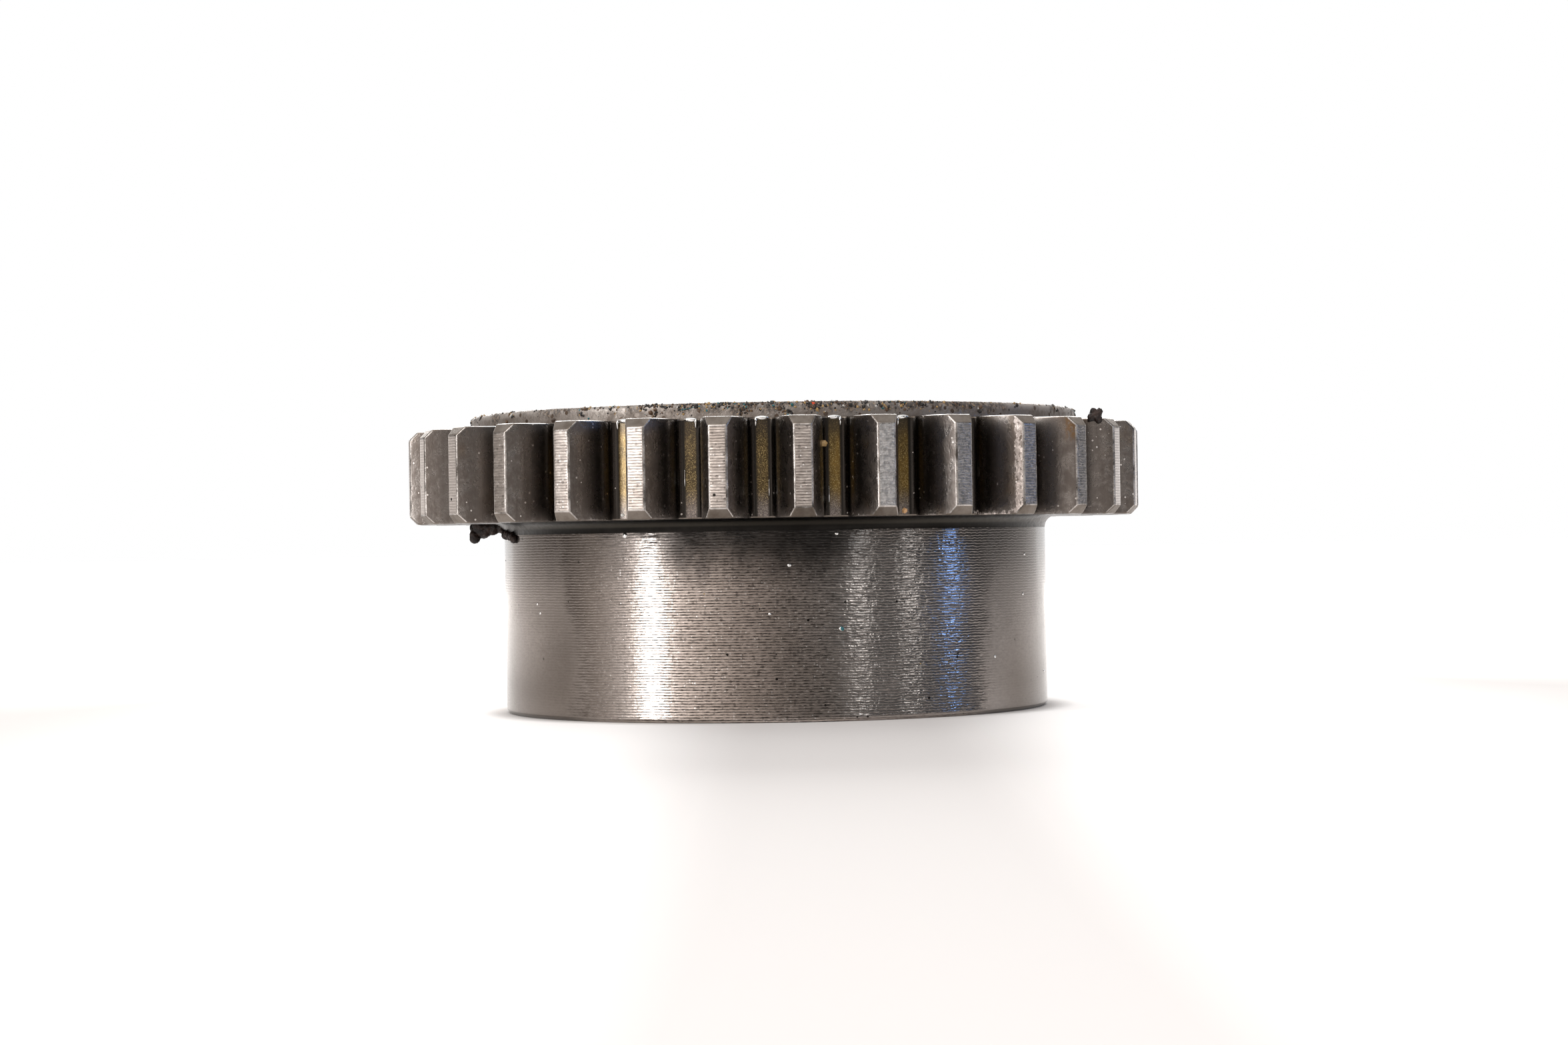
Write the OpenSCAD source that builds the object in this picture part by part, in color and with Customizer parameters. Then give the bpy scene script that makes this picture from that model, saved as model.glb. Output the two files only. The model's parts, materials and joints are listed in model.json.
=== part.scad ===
// Crankshaft gear: a ring of straight spur teeth, a long plain hub under it and a low boss on top of it,
// turned and hobbed from one piece of steel, with a keyed bore for the crankshaft.
// The gear stands on the end of its hub. Its origin is on the axis at that end, with +Z along the axis.

/* [Teeth] */
// Number of teeth round the ring
tooth_count = 30; // [24:1:48]
// Module, the pitch diameter for each tooth
tooth_module = 2; // [1.75:0.05:3]
// Pressure angle of the involute flanks, in degrees
pressure_angle = 20; // [16:0.5:25]
// Height of a tooth above the pitch circle, in modules
tip_height = 1; // [0.8:0.05:1.1]
// Depth of a tooth below the pitch circle, in modules
root_depth = 1.25; // [1.1:0.05:1.4]
// Radius of the round at the foot of each flank
root_fillet_r = 0.5; // [0.2:0.05:0.6]
// Length of the teeth along the axis
face_w = 8; // [5:0.5:20]
// Chamfer turned on both ends of the tooth tips
tip_chamfer = 0.7; // [0.2:0.05:1.2]

/* [Hub] */
// Diameter of the hub below the teeth
hub_d = 47.5; // [42:0.5:51]
// Length of the hub, from its end to the underside of the teeth
hub_len = 16.5; // [6:0.5:40]
// Chamfer on the outer edge of the hub's end
hub_chamfer = 0.3; // [0.1:0.05:1]
// Radius of the fillet between the hub and the underside of the teeth
hub_fillet_r = 1; // [0.4:0.1:1.5]

/* [Boss] */
// Distance from the tooth roots in to the wall of the boss
boss_setback = 1; // [0.5:0.1:2]
// Height of the boss above the teeth
boss_h = 1.3; // [0.8:0.1:4]
// Radius of the round on the boss's upper edge
boss_edge_r = 0.4; // [0.1:0.05:0.6]

/* [Bore] */
// Diameter of the bore for the crankshaft
bore_d = 32; // [20:0.5:36]
// Chamfer at both mouths of the bore
bore_chamfer = 0.8; // [0.2:0.1:1.2]
// Width of the keyway
key_w = 6; // [3:0.5:8]
// Depth of the keyway beyond the bore's wall
key_depth = 2.6; // [1:0.1:3]

/* [Hidden] */
$fn = 128;

// Points on one flank, on one foot round and on the root between two teeth
flank_steps = 8;
foot_steps = 5;
root_steps = 2;
// How far a cutting shape runs past the face that it cuts
overrun = 0.2;

pitch_r = tooth_module * tooth_count / 2;
base_r = pitch_r * cos(pressure_angle);
tip_r = pitch_r + tip_height * tooth_module;
root_r = pitch_r - root_depth * tooth_module;
tooth_step = 360 / tooth_count;
// The keyway lies on +Y, in line with a tooth
first_tooth = 90;

hub_r = hub_d / 2;
bore_r = bore_d / 2;
boss_r = root_r - boss_setback;
teeth_bottom = hub_len;
teeth_top = teeth_bottom + face_w;
boss_top = teeth_top + boss_h;

// Angle, in degrees, that the involute has swept when it reaches radius r
function roll_at(r) = sqrt(max(pow(r / base_r, 2) - 1, 0));
function swept_at(r) = roll_at(r) * 180 / PI - atan(roll_at(r));

// Half the angle of a tooth, and of the gap between two teeth, at radius r
function half_tooth_at(r) = tooth_step / 4 + swept_at(pitch_r) - swept_at(r);
function half_gap_at(r) = tooth_step / 2 - half_tooth_at(r);

function polar(r, a) = [r * cos(a), r * sin(a)];
function mirrored(points) = [for (i = [len(points) - 1 : -1 : 0]) [points[i].x, -points[i].y]];

// Foot round: its centre lies one fillet radius off the flank's line and off the root circle
foot_centre_r = root_r + root_fillet_r;
foot_top_r = sqrt(pow(foot_centre_r, 2) - pow(root_fillet_r, 2));
flank_start_r = max(base_r, foot_top_r);
flank_end_r = tip_r + overrun;
flank_start_a = half_gap_at(flank_start_r);
foot_centre_a = flank_start_a - asin(root_fillet_r / foot_centre_r);
foot_centre = polar(foot_centre_r, foot_centre_a);

function flank_points() = [
    for (i = [flank_steps : -1 : 0])
        let (r = flank_start_r + (flank_end_r - flank_start_r) * i / flank_steps)
        polar(r, half_gap_at(r))
];

function foot_points() =
    let (first = flank_start_a + 90, last = foot_centre_a + 180)
    [for (i = [0 : foot_steps]) foot_centre + polar(root_fillet_r, first + (last - first) * i / foot_steps)];

function root_points() = [
    for (i = [1 : root_steps - 1]) polar(root_r, foot_centre_a * (1 - 2 * i / root_steps))
];

// Outline of the space between two teeth, about the X axis
module gap_outline() {
    side = concat(flank_points(), foot_points());
    polygon(concat(side, root_points(), mirrored(side)));
}

// The spaces between all the teeth
module tooth_gaps() {
    translate([0, 0, teeth_bottom - overrun])
        linear_extrude(face_w + 2 * overrun)
            for (i = [0 : tooth_count - 1])
                rotate(first_tooth + (i + 0.5) * tooth_step) gap_outline();
}

// Half sections of the turned blank, with X out from the axis and Y along it
module hub_section() {
    polygon([
        [0, 0], [hub_r - hub_chamfer, 0], [hub_r, hub_chamfer],
        [hub_r, teeth_top - tip_chamfer], [0, teeth_top - tip_chamfer]
    ]);
}

module ring_section() {
    polygon([
        [0, teeth_bottom], [tip_r - tip_chamfer, teeth_bottom], [tip_r, teeth_bottom + tip_chamfer],
        [tip_r, teeth_top - tip_chamfer], [tip_r - tip_chamfer, teeth_top], [0, teeth_top]
    ]);
}

module fillet_section() {
    difference() {
        translate([hub_r - hub_fillet_r, teeth_bottom - hub_fillet_r])
            square([2 * hub_fillet_r, hub_fillet_r + tip_chamfer]);
        translate([hub_r + hub_fillet_r, teeth_bottom - hub_fillet_r]) circle(hub_fillet_r);
    }
}

module boss_section() {
    start = teeth_top - tip_chamfer;
    square_h = boss_top - start;
    translate([0, start]) square([boss_r - boss_edge_r, square_h]);
    translate([0, start]) square([boss_r, square_h - boss_edge_r]);
    translate([boss_r - boss_edge_r, boss_top - boss_edge_r]) circle(boss_edge_r);
}

module turned_blank() {
    rotate_extrude() {
        hub_section();
        ring_section();
        fillet_section();
        boss_section();
    }
}

// Chamfer cone at a mouth of the bore, opening along +Z from the depth of the chamfer
module bore_mouth() {
    translate([0, 0, -bore_chamfer])
        cylinder(h = bore_chamfer + overrun, r1 = bore_r, r2 = bore_r + bore_chamfer + overrun);
}

module keyed_bore() {
    translate([0, 0, -overrun]) cylinder(h = boss_top + 2 * overrun, r = bore_r);
    translate([0, 0, boss_top]) bore_mouth();
    mirror([0, 0, 1]) bore_mouth();
    translate([-key_w / 2, 0, -overrun]) cube([key_w, bore_r + key_depth, boss_top + 2 * overrun]);
}

module crankshaft_gear() {
    color([0.47, 0.45, 0.43])
        difference() {
            turned_blank();
            tooth_gaps();
            keyed_bore();
        }
}

crankshaft_gear();
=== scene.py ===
# %% [markdown]
# # A crankshaft gear
# This lesson dresses a small steel gear: a ring of straight teeth with a long hub under it and a low
# boss on top, all turned and cut from one bar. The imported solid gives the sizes. The pieces modelled
# here are the gear itself, with softened edges and a finish for each way it was machined, and the
# dirt and oil that lie on it.

import json
import math
import random
from collections import namedtuple

import bmesh
import bpy
from mathutils import Matrix, Vector

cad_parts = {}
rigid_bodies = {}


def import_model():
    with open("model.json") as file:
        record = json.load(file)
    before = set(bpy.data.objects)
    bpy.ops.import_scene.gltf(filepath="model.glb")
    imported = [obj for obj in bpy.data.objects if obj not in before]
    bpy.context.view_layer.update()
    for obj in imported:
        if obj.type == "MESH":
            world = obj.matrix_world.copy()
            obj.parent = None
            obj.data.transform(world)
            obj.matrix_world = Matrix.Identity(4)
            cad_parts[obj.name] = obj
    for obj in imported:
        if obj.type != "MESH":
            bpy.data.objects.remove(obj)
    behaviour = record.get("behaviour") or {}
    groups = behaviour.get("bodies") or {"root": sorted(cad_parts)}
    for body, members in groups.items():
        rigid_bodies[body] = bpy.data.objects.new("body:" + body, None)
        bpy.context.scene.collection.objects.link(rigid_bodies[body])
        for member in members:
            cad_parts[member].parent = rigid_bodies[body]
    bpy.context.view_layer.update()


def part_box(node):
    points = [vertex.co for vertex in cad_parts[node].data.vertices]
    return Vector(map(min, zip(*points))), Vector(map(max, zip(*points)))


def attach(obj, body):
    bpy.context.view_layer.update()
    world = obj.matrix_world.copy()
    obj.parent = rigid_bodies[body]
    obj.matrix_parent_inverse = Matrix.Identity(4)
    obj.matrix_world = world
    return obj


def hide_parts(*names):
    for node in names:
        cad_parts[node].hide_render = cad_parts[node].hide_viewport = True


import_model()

# %% [markdown]
# ## The sizes
# Every size of a gear follows from its module and its count of teeth. The solid's box gives the tip
# radius and the height, and the other turned sizes are written once here, in millimetres, as on a
# drawing.

# %% Sizes of the turned blank and the teeth
MM = 0.001
_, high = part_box("crankshaft_gear")
TEETH = 30
TIP_R = high.y
BOSS_TOP = high.z
MODULE = 2 * TIP_R / (TEETH + 2)
PITCH_R = MODULE * TEETH / 2
ROOT_R = PITCH_R - 1.25 * MODULE
BASE_R = PITCH_R * math.cos(math.radians(20))
TOOTH_STEP = 360 / TEETH

TEETH_BOTTOM = 16.5 * MM
TEETH_TOP = TEETH_BOTTOM + 8 * MM
TIP_CHAMFER = 0.7 * MM
FOOT_ROUND = 0.5 * MM
HUB_R = 23.75 * MM
HUB_CHAMFER = 0.3 * MM
HUB_FILLET = 1.0 * MM
BOSS_R = ROOT_R - 1.0 * MM
BOSS_ROUND = 0.4 * MM
BORE_R = 16.0 * MM
BORE_CHAMFER = 0.8 * MM
KEY_WIDTH = 6.0 * MM
KEY_DEPTH = 2.6 * MM
print("module", round(MODULE / MM, 3), "mm, root radius", round(ROOT_R / MM, 3), "mm")

# %% [markdown]
# ## The camera
# The camera stands a little to the left of the keyway's plane, almost level with the middle of the
# gear, and is tipped by less than a degree. These values were fitted to the edges of the teeth, so
# that each tooth falls where it should in the picture.

# %% Camera
CAMERA_TURN = math.radians(-4.32)
CAMERA_PLACE = Vector((0.83, -268.8, 14.94)) * MM
CAMERA_PITCH = math.radians(90.28)
CAMERA_ROLL = math.radians(-0.91)
CAMERA_LENS = 69.9

facing = Matrix.Rotation(CAMERA_TURN, 4, "Z")
camera_data = bpy.data.cameras.new("camera")
camera_data.lens = CAMERA_LENS
camera_data.sensor_width = 36.0
camera_data.clip_start = 0.01
camera_data.clip_end = 50.0
camera = bpy.data.objects.new("camera", camera_data)
bpy.context.scene.collection.objects.link(camera)
camera.matrix_world = (
    facing
    @ Matrix.Translation(CAMERA_PLACE)
    @ Matrix.Rotation(CAMERA_PITCH, 4, "X")
    @ Matrix.Rotation(CAMERA_ROLL, 4, "Z")
)
bpy.context.scene.camera = camera
bpy.context.scene.view_settings.view_transform = "Standard"
print("camera at", [round(value, 4) for value in camera.matrix_world.translation])

# %% [markdown]
# ## Helpers for modelling by hand
# Operators act on whatever is selected, so each step first clears the selection. In edit mode, faces
# are chosen by a test on their middle and their normal, which is what a person does when clicking on
# "the faces on top".

# %% Selecting and drawing helpers
def leave_edit():
    if bpy.context.mode != "OBJECT":
        bpy.ops.object.mode_set(mode="OBJECT")


def clear_selection():
    leave_edit()
    bpy.ops.object.select_all(action="DESELECT")


def work_on(piece):
    clear_selection()
    bpy.context.view_layer.objects.active = piece
    piece.select_set(True)


def edit_all():
    """Goes into edit mode with everything selected."""
    bpy.ops.object.mode_set(mode="EDIT")
    bpy.ops.mesh.select_all(action="SELECT")


def choose_faces(piece, test):
    """Selects the faces for which test(middle, normal) is true, in edit mode."""
    bpy.ops.mesh.select_mode(type="FACE")
    bpy.ops.mesh.select_all(action="DESELECT")
    mesh = bmesh.from_edit_mesh(piece.data)
    for face in mesh.faces:
        if test(face.calc_center_median(), face.normal):
            face.select_set(True)
    bmesh.update_edit_mesh(piece.data)


def draw_line(name, points):
    """A plane merged to one vertex, which is then extruded from point to point. It stays in edit mode."""
    clear_selection()
    bpy.ops.mesh.primitive_plane_add(size=MM)
    piece = bpy.context.object
    piece.name = name
    bpy.ops.object.mode_set(mode="EDIT")
    bpy.ops.mesh.select_mode(type="VERT")
    bpy.ops.mesh.select_all(action="SELECT")
    bpy.ops.mesh.merge(type="CENTER")
    bpy.ops.transform.translate(value=points[0])
    for here, there in zip(points, points[1:]):
        bpy.ops.mesh.extrude_region_move(TRANSFORM_OT_translate={"value": there - here})
    return piece


def apply_modifier(piece, kind, **settings):
    work_on(piece)
    modifier = piece.modifiers.new(kind.lower(), kind)
    for name, value in settings.items():
        setattr(modifier, name, value)
    bpy.ops.object.modifier_apply(modifier=modifier.name)


SAME_SPOT = 0.001 * MM


def merge_doubles():
    bpy.ops.mesh.select_all(action="SELECT")
    bpy.ops.mesh.remove_doubles(threshold=SAME_SPOT)


def polar(radius, degrees, height=0.0):
    angle = math.radians(degrees)
    return Vector((radius * math.cos(angle), radius * math.sin(angle), height))


def reach(point):
    return math.hypot(point.x, point.y)


def bearing(point):
    return math.degrees(math.atan2(point.y, point.x))


print("helpers ready")

# %% [markdown]
# ## One tooth
# A hob cuts each flank as an involute, the curve that the end of a taut string draws as it unwinds
# from the base circle. The outline of one tooth, from the middle of one gap to the middle of the
# next, is worked out from that rule. Drawing it by eye would be quicker, but then the teeth wouldn't
# run against another gear.

# %% Outline of one tooth
TIP_STEPS = 2
FLANK_STEPS = 8
FOOT_STEPS = 6
RIM_STEPS = 12
TOOTH_BEARING = 90.0


def swept(radius):
    roll = math.sqrt(max((radius / BASE_R) ** 2 - 1, 0))
    return math.degrees(roll - math.atan(roll))


def half_tooth(radius):
    return TOOTH_STEP / 4 + swept(PITCH_R) - swept(radius)


def half_outline(side):
    """From the middle of the tip to the middle of the gap, on one side of the tooth."""
    tip_half = half_tooth(TIP_R)
    spots = [(TIP_R, tip_half * i / TIP_STEPS) for i in range(TIP_STEPS)]
    for i in range(FLANK_STEPS + 1):
        radius = TIP_R + (BASE_R - TIP_R) * i / FLANK_STEPS
        spots.append((radius, half_tooth(radius)))
    points = [polar(radius, TOOTH_BEARING + side * angle) for radius, angle in spots]

    foot_centre_r = ROOT_R + FOOT_ROUND
    lean = math.degrees(math.asin(FOOT_ROUND / foot_centre_r))
    flank_angle = half_tooth(BASE_R)
    foot_centre = polar(foot_centre_r, TOOTH_BEARING + side * (flank_angle + lean))
    for i in range(FOOT_STEPS + 1):
        turn = flank_angle - 90 + (lean - 90) * i / FOOT_STEPS
        points.append(foot_centre + polar(FOOT_ROUND, TOOTH_BEARING + side * turn))
    points.append(polar(ROOT_R, TOOTH_BEARING + side * TOOTH_STEP / 2))
    return points


left, right = half_outline(1), half_outline(-1)
rim = [
    polar(BOSS_R, TOOTH_BEARING + TOOTH_STEP * (0.5 - i / RIM_STEPS))
    for i in range(RIM_STEPS + 1)
]
tooth_outline = right[:0:-1] + left + rim
print("tooth outline:", len(tooth_outline), "points")

# %% [markdown]
# ## From the outline to a solid tooth
# A flat disc with one vertex for each point of the outline is pulled into shape and extruded to the
# face width. The lathe had already chamfered the blank's rim, so two bisecting planes take the tip's
# corners off. The walls where the tooth meets its neighbours and the body are deleted, because they
# would end up inside the gear.

# %% Tooth solid with its chamfers
clear_selection()
bpy.ops.mesh.primitive_circle_add(vertices=len(tooth_outline), radius=TIP_R, fill_type="NGON")
ring = bpy.context.object
ring.name = "gear_ring"
for vertex, point in zip(ring.data.vertices, tooth_outline):
    vertex.co = point + Vector((0, 0, TEETH_BOTTOM))
edit_all()
bpy.ops.mesh.extrude_region_move(TRANSFORM_OT_translate={"value": (0, 0, TEETH_TOP - TEETH_BOTTOM)})
for height, up in ((TEETH_TOP, 1), (TEETH_BOTTOM, -1)):
    bpy.ops.mesh.select_all(action="SELECT")
    bpy.ops.mesh.bisect(
        plane_co=(0, TIP_R - TIP_CHAMFER, height),
        plane_no=Vector((0, 1, up)).normalized(),
        use_fill=True,
        clear_outer=True,
    )


def is_sector_wall(middle, normal):
    off_centre = abs(bearing(middle) - TOOTH_BEARING)
    return abs(normal.z) < 0.1 and (
        abs(off_centre - TOOTH_STEP / 2) < 0.01 or reach(middle) < BOSS_R + 0.01 * MM
    )


choose_faces(ring, is_sector_wall)
bpy.ops.mesh.delete(type="FACE")
leave_edit()
print("one tooth:", len(ring.data.polygons), "faces")

# %% [markdown]
# ## The ring of teeth
# Spin can copy a shape in steps round an axis. The copies meet in the middle of each gap, and merging
# the doubles closes the ring. The sharp edges are then bevelled, because a deburred gear has soft
# edges that catch the light.

# %% Ring of teeth with softened edges
EDGE_SOFTENING = 0.13 * MM


def spin_round(steps, degrees, copies=False):
    """Sweeps what is selected round the axis, or copies it in steps."""
    bpy.ops.mesh.spin(
        steps=steps, dupli=copies, angle=math.radians(degrees), center=(0, 0, 0), axis=(0, 0, 1)
    )


work_on(ring)
edit_all()
spin_round(TEETH - 1, 360 - TOOTH_STEP, copies=True)
merge_doubles()
bpy.ops.mesh.normals_make_consistent(inside=False)
leave_edit()
FINISHES = (
    "hub_turned", "tip_turned", "chamfer_turned", "flank_hobbed", "root_varnished",
    "boss_grimy", "face_turned", "underside_oil_and_shade", "bore_honed", "edge_worn",
)
for finish in FINISHES:
    ring.data.materials.append(bpy.data.materials.new(finish))
apply_modifier(
    ring,
    "BEVEL",
    width=EDGE_SOFTENING,
    segments=2,
    limit_method="ANGLE",
    angle_limit=math.radians(30),
    use_clamp_overlap=False,
    material=FINISHES.index("edge_worn"),
)
print("ring of teeth:", len(ring.data.polygons), "faces")

# %% [markdown]
# ## Hub, boss and bore
# The rest of the gear is a lathe job: one half section, spun round the axis. The section starts where
# the ring's underside stops, goes down the hub, through the bore and back over the boss. Its corners
# are broken with a small vertex bevel before the spin, as a turner breaks each edge with a file.

# %% Half section, spun
FILLET_STEPS = 8
BROKEN_EDGE = 0.06 * MM
SPIN_STEPS = TEETH * RIM_STEPS


def section_point(radius, height):
    return Vector((radius, 0, height))


def quarter(centre_r, centre_z, radius, first, last):
    steps = [first + (last - first) * i / FILLET_STEPS for i in range(FILLET_STEPS + 1)]
    return [
        section_point(
            centre_r + radius * math.cos(math.radians(step)),
            centre_z + radius * math.sin(math.radians(step)),
        )
        for step in steps
    ]


broken_corners = [
    section_point(HUB_R, HUB_CHAMFER),
    section_point(HUB_R - HUB_CHAMFER, 0),
    section_point(BORE_R + BORE_CHAMFER, 0),
    section_point(BORE_R, BORE_CHAMFER),
    section_point(BORE_R, BOSS_TOP - BORE_CHAMFER),
    section_point(BORE_R + BORE_CHAMFER, BOSS_TOP),
]
half_section = (
    [section_point(BOSS_R, TEETH_BOTTOM)]
    + quarter(HUB_R + HUB_FILLET, TEETH_BOTTOM - HUB_FILLET, HUB_FILLET, 90, 180)
    + broken_corners
    + quarter(BOSS_R - BOSS_ROUND, BOSS_TOP - BOSS_ROUND, BOSS_ROUND, 90, 0)
    + [section_point(BOSS_R, TEETH_TOP)]
)
body = draw_line("gear_body", half_section)
bpy.ops.mesh.select_mode(type="VERT")
bpy.ops.mesh.select_all(action="DESELECT")
line = bmesh.from_edit_mesh(body.data)
for vertex in line.verts:
    if any((vertex.co - corner).length < SAME_SPOT for corner in broken_corners):
        vertex.select_set(True)
bmesh.update_edit_mesh(body.data)
bpy.ops.mesh.bevel(offset=BROKEN_EDGE, segments=2, affect="VERTICES")
bpy.ops.mesh.select_all(action="SELECT")
spin_round(SPIN_STEPS, 360)
merge_doubles()
leave_edit()
print("spun body:", len(body.data.polygons), "faces")

# %% [markdown]
# ## One closed body and its keyway
# The ring and the spun body have the same points along their border, so a join and a merge of the
# doubles make one closed surface. A broach pulled through the bore cut the real keyway. A boolean
# difference with a box does the same in one step. Counting the open edges afterwards shows whether
# the body is closed.

# %% Join, close and cut the keyway
clear_selection()
body.select_set(True)
ring.select_set(True)
bpy.context.view_layer.objects.active = ring
bpy.ops.object.join()
gear = ring
gear.name = "gear"
edit_all()
merge_doubles()
bpy.ops.mesh.normals_make_consistent(inside=False)
leave_edit()

KEY_OVERRUN = 1.0 * MM
clear_selection()
bpy.ops.mesh.primitive_cube_add(size=1)
key_cutter = bpy.context.object
key_cutter.data.transform(
    Matrix.Translation((0, (BORE_R + KEY_DEPTH) / 2, BOSS_TOP / 2))
    @ Matrix.Diagonal((KEY_WIDTH, BORE_R + KEY_DEPTH, BOSS_TOP + 2 * KEY_OVERRUN, 1))
)
apply_modifier(gear, "BOOLEAN", operation="DIFFERENCE", object=key_cutter, solver="EXACT")
bpy.data.objects.remove(key_cutter)

check = bmesh.new()
check.from_mesh(gear.data)
open_edges = [edge for edge in check.edges if not edge.is_manifold]
print("gear:", len(gear.data.polygons), "faces,", len(open_edges), "open edges,", end=" ")
print("volume", round(check.calc_volume() / MM**3), "mm3")
check.free()

# %% [markdown]
# ## Which tool made which face
# Each machining step leaves its own surface, so each face is given the finish of the tool that made
# it. The face's place and normal tell which one that was. The bevelled edges already have theirs.

# %% Finishes by face
def finish_of(middle, normal):
    radius = reach(middle)
    outward = (normal.x * middle.x + normal.y * middle.y) / max(radius, MM)
    if radius < BORE_R + KEY_DEPTH + 0.01 * MM and abs(normal.z) < 0.9:
        return "bore_honed"
    if middle.z < TEETH_BOTTOM - HUB_FILLET:
        return "hub_turned" if outward > 0.2 else "face_turned"
    if middle.z < TEETH_BOTTOM + 0.01 * MM:
        return "underside_oil_and_shade"
    if middle.z > TEETH_TOP + 0.01 * MM:
        return "boss_grimy" if outward > 0.2 else "face_turned"
    if abs(normal.z) > 0.985:
        return "face_turned" if normal.z > 0 else "underside_oil_and_shade"
    if abs(normal.z) > 0.2 and outward > 0.4:
        return "chamfer_turned"
    if radius > TIP_R - 0.05 * MM and outward > 0.9:
        return "tip_turned"
    if radius < ROOT_R + 0.03 * MM:
        return "root_varnished"
    return "flank_hobbed"


WORN = FINISHES.index("edge_worn")
WEAR_REACH = TIP_R - 0.9 * MM
for face in gear.data.polygons:
    rubbed = reach(face.center) > WEAR_REACH and abs(face.normal.z) < 0.25
    if face.material_index != WORN or not rubbed:
        face.material_index = FINISHES.index(finish_of(face.center, face.normal))
work_on(gear)
bpy.ops.object.shade_smooth_by_angle(angle=math.radians(40))
apply_modifier(gear, "WEIGHTED_NORMAL", keep_sharp=True, weight=50)
count = {name: 0 for name in FINISHES}
for face in gear.data.polygons:
    count[FINISHES[face.material_index]] += 1
print(count)

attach(gear, "root")
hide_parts("crankshaft_gear")

# %% [markdown]
# ## Node helpers
# A material is a small circuit. These helpers add a node, set its sockets and wire it up in one call.

# %% Node helpers
def plug(tree, socket, value):
    """Wires a socket to another node's output, or sets it to a plain value."""
    if isinstance(value, bpy.types.NodeSocket):
        tree.links.new(value, socket)
    else:
        socket.default_value = value


def put(tree, kind, sockets=None, **settings):
    node = tree.nodes.new("ShaderNode" + kind)
    for name, value in settings.items():
        setattr(node, name, value)
    for socket, value in (sockets or {}).items():
        plug(tree, node.inputs[socket], value)
    return node


def sums(tree, operation, *values):
    return put(tree, "Math", dict(enumerate(values)), operation=operation).outputs[0]


def times(tree, value, factor):
    return sums(tree, "MULTIPLY", value, factor)


def scaled(tree, value, factor, plus):
    """A value times a factor, plus an offset or another value."""
    return sums(tree, "MULTIPLY_ADD", value, factor, plus)


def ranged(tree, value, low, high, first=0.0, last=1.0):
    """A soft step from first to last, as the value goes from low to high."""
    sockets = {"Value": value, "From Min": low, "From Max": high, "To Min": first, "To Max": last}
    return put(tree, "MapRange", sockets, interpolation_type="SMOOTHSTEP").outputs[0]


def new_group(name, inputs, outputs):
    tree = bpy.data.node_groups.new(name, "ShaderNodeTree")
    for label, value in inputs.items():
        socket = tree.interface.new_socket(name=label, in_out="INPUT", socket_type="NodeSocketFloat")
        socket.default_value = value
    for label in outputs:
        tree.interface.new_socket(name=label, in_out="OUTPUT", socket_type="NodeSocketFloat")
    return tree, tree.nodes.new("NodeGroupInput").outputs, tree.nodes.new("NodeGroupOutput").inputs


def use(tree, group, **values):
    """Places a group in a tree, sets its inputs and gives its outputs."""
    node = tree.nodes.new("ShaderNodeGroup")
    node.node_tree = group
    for label, value in values.items():
        plug(tree, node.inputs[label.capitalize()], value)
    return node.outputs


print("node helpers ready")

# %% [markdown]
# ## Where a point lies on a turned part
# Turning marks run round the axis, so a finish has to know how high a point lies, how far it is from
# the axis and where it is on the round. The surface could be unwrapped for that, but the object's own
# coordinates give all three with a few sums, and they have no seams.

# %% Place on a turned part
def build_turned_place():
    tree, _, out = new_group("Turned place", {}, ["Travel", "Radius", "Turn"])
    spot = put(tree, "TexCoord").outputs["Object"]
    x, y, z = put(tree, "SeparateXYZ", {0: spot}).outputs
    tree.links.new(z, out["Travel"])
    squared = sums(tree, "ADD", times(tree, x, x), times(tree, y, y))
    tree.links.new(sums(tree, "SQRT", squared), out["Radius"])
    tree.links.new(sums(tree, "DIVIDE", sums(tree, "ARCTAN2", y, x), 2 * math.pi), out["Turn"])
    return tree


TURNED_PLACE = build_turned_place()
print("group:", TURNED_PLACE.name)

# %% [markdown]
# ## The track of the lathe tool
# A turned surface carries the track of the tool, a very fine thread whose pitch is the feed of the
# lathe. Its section is a row of shallow scallops with sharp crests. The same group makes the lines on
# the hub and on the tips, where the tool travelled along the axis, and on the end faces, where it
# travelled towards the axis. Noise breaks the lines up, because the steel tears a little under the
# tool.

# %% Feed lines
LONG_SHARE = 0.82
LINE_STRETCH = 4.5


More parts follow.
